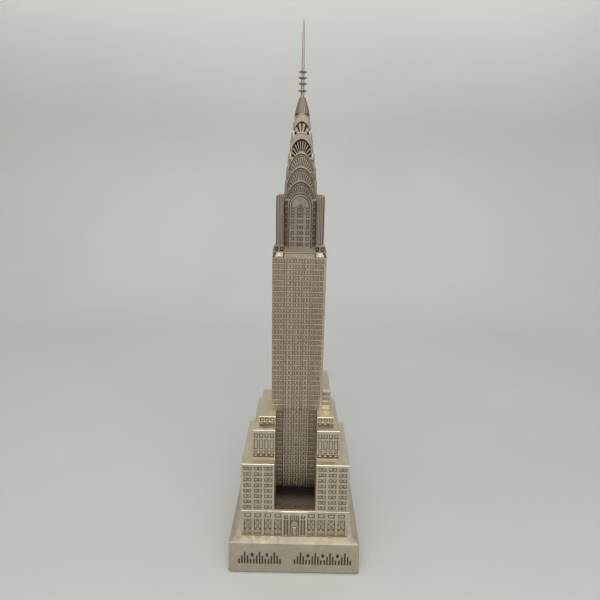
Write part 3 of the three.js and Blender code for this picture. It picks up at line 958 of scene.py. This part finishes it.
def corner_pier():
    """The front-right pier of the drum: upright and fluted, with a small sloping head."""
    low, high = corners("corner_pier_front_right")
    pier = Shell()
    plan, tones = fluted_corner(low[0], high[0])
    loft(pier, [level(plan, low[2]), level(plan, PIER_SHOULDER)], tones)
    foot, head = [fluted_corner(low[0], high[0] - lean)[0] for lean in (0.05, 0.45)]
    loft(pier, [level(foot, PIER_SHOULDER), level(head, high[2])], DULL)
    return pier


def shoulder_plan(inner, reach, chamfer):
    """The plan of a front-right corner block: a slot beside the shaft's arm and a cut outer corner."""
    slot = inner + 0.7
    points = [
        (inner, -reach + 0.7), (slot, -reach), (reach - chamfer, -reach), (reach, -reach + chamfer),
        (reach, -slot), (reach - 0.7, -inner), (inner + 0.1, -inner), (inner, -inner - 0.1),
    ]
    return [(x, y + AXIS_Y) for x, y in points]


def fluted_corner(inner, outer):
    """The plan of a front-right pier, and a tone for each of its sides: narrow flutes in two faces."""
    wide, deep, chamfer = 0.42, 0.6, 0.8
    front, tones = [(inner, -outer)], []
    for share in (0.12, 0.36, 0.60):
        x = inner + share * (outer - inner)
        front += [(x - wide / 2, -outer), (x - wide / 3, -outer + deep)]
        front += [(x + wide / 3, -outer + deep), (x + wide / 2, -outer)]
        tones += [METAL, PATINA, PATINA, PATINA]
    front += [(outer - chamfer, -outer), (outer, -outer + chamfer)]
    side = [(-y, -x) for x, y in front[-3::-1]]
    points = front + side + [(inner, -inner)]
    tones = [*tones, METAL, PATINA, METAL, *tones[::-1], METAL][: len(points)]
    tones += [METAL] * (len(points) - len(tones))
    return [(x, y + AXIS_Y) for x, y in points], tones


def build_drum():
    low, high = DRUM_LOW[2], DRUM_HIGH[2]
    half = DRUM_HIGH[0]
    body = Shell()
    prism(body, plus(half - 1.2, SHAFT_ARM - 0.05), low, high, 0.2)
    for turn in range(4):
        face = Relief(-SHAFT_ARM, SHAFT_ARM, low, high - 0.3)
        for u in (-9.35, 9.35):
            face.stripe(u, 0.95, low + 1.5, high - 1.2, 0.9)
            for row in range(8):
                v = DRUM_ROW["wall"] + DRUM_STOREY * row
                face.stripe(u, 0.95, v - 0.3, v + 0.3, 0.35, METAL, CRISPER)
                face.stripe(u, 0.2, v, v + 1.7, 0.35, METAL, CRISPER)
        slab(body, face, wall(turn, AXIS_Y, half), 1.6)
    cast("drum", body, "crown_pewter")

    wide, thick = BAY_HIGH[0], BAY_HIGH[1] - BAY_LOW[1]
    place = wall(0, AXIS_Y, AXIS_Y - BAY_LOW[1])
    for turn, side in enumerate(SIDES):
        node = f"arch_bay_{side}"
        bay = arch_bay(place, wide, thick, low, corners(node)[1][2])
        cast(node, bay.turned(turn, AXIS_Y), "crown_pewter")


def arch_bay(place, wide, thick, low, apex):
    """A window bay with seven storeys under a round head."""
    bay = Shell()
    face = Relief(-wide, wide, low, SPRING)
    face.stripe(0, wide - 0.55, low + 1.3, SPRING + 1, 0.5, METAL, CRISP)
    for side in (-1, 1):
        face.stripe(side * (wide - 0.85), 0.25, low + 1.3, SPRING + 1, 0.6)
        face.stripe(side * (wide - 0.3), 0.3, low, SPRING + 1, -0.1, EDGE)
    for row in range(7):
        v = DRUM_ROW["bay"] + DRUM_STOREY * row
        for u, w in ((-5.0, 2.3), (-1.15, 1.95), (1.15, 1.95), (5.0, 2.3)):
            window(face, u, v, w, 2.3, 0.78, 0.52, 0.45)
    sill = SPRING - 3.8
    face.stripe(0, wide - 1.0, sill - 0.3, sill, 0.65, PATINA, CRISPER)
    face.stripe(0, wide - 1.0, sill, sill + 0.45, 0.2, EDGE, CRISPER)
    slab(bay, face, place, thick)
    arch = arch_relief(0.10, 5)
    bands(arch, 0.02, (0.05, 0.945, 0.5, METAL))
    bands(
        arch, 0.012,
        (0.875, 0.935, 0.6, PATINA), (0.935, 1.01, -0.1, EDGE),
        (0.70, 0.745, 0.6, PATINA), (0.745, 0.785, 0.25, EDGE),
    )
    brow = arch_relief(0.10, 10)
    bands(brow, 0.04, (0.0, 0.8, 0.25, DULL))
    fan(bay, brow, place, SPRING, 2.5, 2.5, 0.7)
    fan(bay, arch, place, SPRING, wide, apex - SPRING, thick)
    return bay


def arch_relief(inside, step):
    """A half-round field in degrees and shares of the radius."""
    relief = Relief(0.0, 180.0, inside, 1.0, (1.0, 0.02))
    relief.extra = (list(np.arange(0, 181, step)), [])
    return relief


def bands(relief, run, *marks):
    """Marks right round an arch, from (inner share, outer share, depth, tone)."""
    for inner, outer, depth, tone in marks:
        relief.mark(-1, 181, inner, outer, depth, tone, (0.5, run))


# Each crown tier's sunburst: its strokes, where they start and how wide they are. Lean is how far the
# tier's sides spread for each mm of height. In the upper two tiers the sunburst stands in a rounder
# arch of its own, which springs and ends lower than the rim.
CROWN_ARCHES = [
    {"strokes": 17, "from": 0.62, "wide": 0.24, "lean": 0.025},
    {"strokes": 17, "from": 0.50, "wide": 0.24, "lean": 0.045},
    {"strokes": 15, "from": 0.42, "wide": 0.24, "lean": 0.06},
    {"strokes": 11, "from": 0.42, "wide": 0.33, "lean": 0.055, "spring": 296.5, "apex": 309.4},
    {"strokes": 5, "from": 0.35, "wide": 0.22, "lean": 0.05, "spring": 309.9, "apex": 320.4},
]


def strokes(relief, style, outer, deep):
    """The radial dark strokes of a sunburst."""
    spread = 168.0
    pitch = spread / style["strokes"]
    for k in range(style["strokes"]):
        angle = 90 - spread / 2 + pitch * (k + 0.5)
        reach = style["wide"] * pitch
        relief.mark(angle - reach, angle + reach, style["from"], outer, deep, PATINA, (0.1 * pitch, 0.03))


def ribbed_arch(style):
    """A lower tier's face: two raised rim lines over a ring of strokes."""
    face = arch_relief(0.06, 4)
    bands(
        face, 0.012,
        (0.82, 0.95, 0.4, PATINA), (0.95, 1.01, -0.06, METAL),
        (0.865, 0.91, 0.12, METAL), (0.0, 0.835, 0.18, METAL),
    )
    strokes(face, style, 0.80, 0.5)
    return face


def rimmed_arch():
    """The rim that stands behind an upper tier's sunburst."""
    face = arch_relief(0.06, 4)
    bands(face, 0.015, (0.0, 0.94, 0.2, METAL), (0.94, 1.01, -0.06, METAL))
    return face


def sunburst(style):
    """An upper tier's face: broad strokes inside a dark edge."""
    face = arch_relief(0.06, 4)
    bands(face, 0.02, (0.90, 1.02, 0.64, PATINA))
    strokes(face, style, 0.93, 0.66)
    return face


def build_crown():
    """Five arched tiers, the same on four sides."""
    thick = 1.1
    for number, style in enumerate(CROWN_ARCHES, 1):
        node = f"crown_tier_{number}"
        low, high = corners(node)
        half = high[0]
        rise = min(1.85 * half, high[2] - low[2] - 0.2)
        spring = high[2] - rise
        upper = "spring" in style
        back = 0.5 if upper else 0.0
        body = Shell()
        for turn in range(4):
            place = wall(turn, AXIS_Y, half)
            leg = Relief(-half, half, low[2], style.get("spring", spring))
            if upper:
                fan(body, rimmed_arch(), wall(turn, AXIS_Y, half - back), spring, half, rise, thick, DULL)
                burst_rise = style["apex"] - style["spring"]
                fan(body, sunburst(style), place, style["spring"], 0.99 * half, burst_rise, thick)
            else:
                fan(body, ribbed_arch(style), place, spring, half, rise, thick, DULL)
            leg.stripe(0, half - 0.2, low[2], leg.area[3] + 1, 0.1, DULL)
            slab(body, leg, place, thick, thick, thick)
        vault(body, half - thick - back + 0.1, low[2], spring, half, rise)
        taper(body, style["lean"] / half, high[2])
        cast(node, body, "crown_pewter", BURST_SKIN if upper else TIER_SKIN, smooth=35)


def taper(shell, share, top):
    """Widens a body round the shaft's axis by this share for each mm below its top."""
    points = np.array(shell.points)
    wider = 1 + share * (top - points[:, 2:])
    axis = np.array([0.0, AXIS_Y])
    points[:, :2] = axis + (points[:, :2] - axis) * wider
    shell.points = points.tolist()


def vault(shell, reach, low, spring, half, rise):
    """The crossed barrel roofs behind four arches, down to a flat foot."""
    xs = reach * np.sin(np.linspace(-math.pi / 2, math.pi / 2, 25))
    heights = spring + rise * np.sqrt(1 - (xs / half) ** 2)
    work = Shell()
    part = Shell()
    edge = [(x, -reach, h) for x, h in zip(xs, heights)]
    inner = [(x, -abs(x), h) for x, h in zip(xs, heights)]
    foot = [(x, -reach, low) for x in xs]
    n = len(xs)
    faces = []
    for i in range(n - 1):
        faces.append([i, i + 1, n + i + 1, n + i])
        faces.append([2 * n + i, 2 * n + i + 1, i + 1, i])
    faces.append([*range(2 * n, 3 * n), 3 * n])
    part.add(edge + inner + foot + [(0, 0, low)], faces, METAL)
    for turn in range(4):
        work.join(part.turned(turn))
    mesh = bmesh.new()
    made = [mesh.verts.new(p) for p in work.points]
    for face in work.faces:
        try:
            mesh.faces.new([made[i] for i in face])
        except ValueError:
            pass
    bmesh.ops.remove_doubles(mesh, verts=mesh.verts, dist=1e-4)
    bmesh.ops.dissolve_degenerate(mesh, edges=mesh.edges, dist=1e-4)
    mesh.verts.index_update()
    points = [(v.co.x, v.co.y + AXIS_Y, v.co.z) for v in mesh.verts]
    faces = [[v.index for v in f.verts] for f in mesh.faces]
    mesh.free()
    shell.add(points, faces, DULL)


# The cone's radius, its depth below the top and how deep its flutes are cut, as a share of the radius.
CONE_PROFILE = [
    (4.2, 16.0, 0.0), (4.3, 10.6, 0.0), (4.75, 10.0, 0.04), (4.7, 9.4, 0.07), (4.1, 6.7, 0.07),
    (3.5, 4.8, 0.07), (2.85, 2.6, 0.06), (2.35, 1.1, 0.03), (2.15, 0.6, 0.0), (2.1, 0.15, 0.0),
    (1.9, 0.0, 0.0),
]
CONE_FLUTES = 16
# Half of a spire ring's section: shares of its radius and of half its height.
RING_SECTION = [(0.42, 1.0), (0.55, 0.92), (0.86, 0.62), (0.97, 0.34), (1.0, 0.0)]


def build_spire():
    """The fluted cone with its collar, the needle, and the four rings on it."""
    top = corners("crown_cone")[1][2]
    cone = Shell()
    flutes = [ring(r, top - z, 6 * CONE_FLUTES, wave, CONE_FLUTES) for r, z, wave in CONE_PROFILE]
    loft(cone, flutes, ([DULL] * 5 + [METAL]) * CONE_FLUTES)
    collar = ((4.5, -0.3), (4.85, -0.1), (4.85, 0.1), (4.5, 0.3))
    loft(cone, [ring(r, top - 10.2 + z, 64) for r, z in collar])
    cast("crown_cone", cone, "crown_pewter", CONE_SKIN, smooth=40)

    low, high = corners("spire_needle")
    foot, tip = high[0], high[2]
    needle = Shell()
    marks = [(1.0, low[2]), (1.0, top), (0.98, top + 1.0)]
    for z in np.linspace(top + 3, tip - 1.0, 9):
        marks.append((1.0 - 0.6 * (z - top) / (tip - top), z))
    marks += [(0.38, tip - 0.6), (0.26, tip - 0.2), (0.1, tip)]
    loft(needle, [ring(foot * r, z, 24) for r, z in marks])
    cast("spire_needle", needle, "crown_pewter", smooth=40)

    section = [(r, -z) for r, z in RING_SECTION] + RING_SECTION[-2::-1]
    for k in range(1, 5):
        low, high = corners(f"spire_ring_{k}")
        middle, half = (low[2] + high[2]) / 2, (high[2] - low[2]) / 2
        body = Shell()
        loft(body, [ring(high[0] * r, middle + half * z, 48) for r, z in section])
        cast(f"spire_ring_{k}", body, "crown_pewter", smooth=50)


def dress_hardware():
    """The steel that holds the castings together keeps its CAD shape."""
    steel = brushed_steel()
    names = ["tie_rod", "tie_nut", "tie_washer", "base_cover", *[f"base_screw_{k}" for k in range(1, 5)]]
    for name in names:
        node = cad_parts[name]
        node.data.materials.clear()
        node.data.materials.append(steel)


# ---- the stage ----
def paper():
    m = Nodes("pale_paper")
    tone = m.ramp(m.noise(3, 2), [(0.3, (0.440, 0.436, 0.410)), (0.7, (0.468, 0.464, 0.438))])
    m.feed("Base Color", tone)
    m.fix("Roughness", 0.8)
    m.fix("Specular IOR Level", 0.2)
    return m.material


def build_stage():
    """A pale paper sweep: a floor that curves up behind the object."""
    wide, front, bend, radius, high = 7000.0, -7000.0, 520.0, 420.0, 2400.0
    profile = [(front, 0.0)]
    for a in np.linspace(0, math.pi / 2, 25):
        profile.append((bend + radius * math.sin(a), radius - radius * math.cos(a)))
    profile.append((bend + radius, high))
    points = [(x, y, z) for y, z in profile for x in (-wide, wide)]
    faces = [(2 * i, 2 * i + 1, 2 * i + 3, 2 * i + 2) for i in range(len(profile) - 1)]
    mesh = bpy.data.meshes.new("paper_sweep")
    mesh.from_pydata((np.array(points) * MM).tolist(), [], faces)
    mesh.polygons.foreach_set("use_smooth", [True] * len(faces))
    mesh.materials.append(paper())
    sweep = put("paper_sweep", mesh)


COOL = (0.94, 0.975, 1.0)
LAMPS = (  # name, size, place and aim in metres, and power in watts
    ("ceiling_softbox", (1.7, 1.0), (0.0, -0.72, 1.15), (0.0, -0.1, 0.0), 12.5),
    ("front_strip", (1.0, 0.35), (0.0, -0.92, 0.92), (0.0, 0.0, 0.2), 0.3),
    ("table_glow", (0.4, 0.25), (0.0, -0.50, 0.62), (0.0, -0.24, 0.0), 2.1),
    ("backdrop_wash", (2.4, 0.2), (0.0, 0.55, 1.1), (0.0, 0.94, 0.7), 9.5),
    ("side_fill_left", (0.9, 0.9), (-1.35, -0.25, 0.6), (0.0, 0.0, 0.15), 1.8),
    ("side_fill_right", (0.9, 0.9), (1.35, -0.25, 0.6), (0.0, 0.0, 0.15), 1.8),
)
CAMERA = {"place": (0.00092, -0.3132, 0.2835), "down": 14.811, "roll": 1.101, "lens": 27.3}  # m, degrees, mm


def area_light(name, size, place, aim, power):
    light = bpy.data.lights.new(name, "AREA")
    light.shape, light.size, light.size_y = "RECTANGLE", *size
    light.energy, light.color = power, COOL
    lamp = put(name, light)
    lamp.location = place
    lamp.visible_camera = False
    lamp.rotation_euler = (Vector(aim) - Vector(place)).to_track_quat("-Z", "Y").to_euler()


def build_light():
    for lamp in LAMPS:
        area_light(*lamp)
    world = bpy.data.worlds.new("room")
    world.use_nodes = True
    background = world.node_tree.nodes["Background"]
    background.inputs["Color"].default_value = (1.0, 0.985, 0.965, 1)
    background.inputs["Strength"].default_value = 0.35
    bpy.context.scene.world = world


def build_camera():
    camera = bpy.data.cameras.new("camera")
    camera.sensor_width, camera.lens = 36.0, CAMERA["lens"]
    camera.clip_start = 0.01
    eye = put("camera", camera)
    pitch, roll = math.radians(90 - CAMERA["down"]), math.radians(CAMERA["roll"])
    turn = Matrix.Rotation(pitch, 4, "X") @ Matrix.Rotation(roll, 4, "Z")
    eye.matrix_world = Matrix.Translation(CAMERA["place"]) @ turn
    bpy.context.scene.camera = eye
    bpy.context.scene.view_settings.view_transform = "Standard"


build_camera()
build_light()
build_stage()
build_plinth()
build_felt()
build_street()
build_portal()
build_podium()
build_shaft()
build_shoulders()
build_drum()
build_crown()
build_spire()
dress_hardware()

bpy.context.view_layer.update()
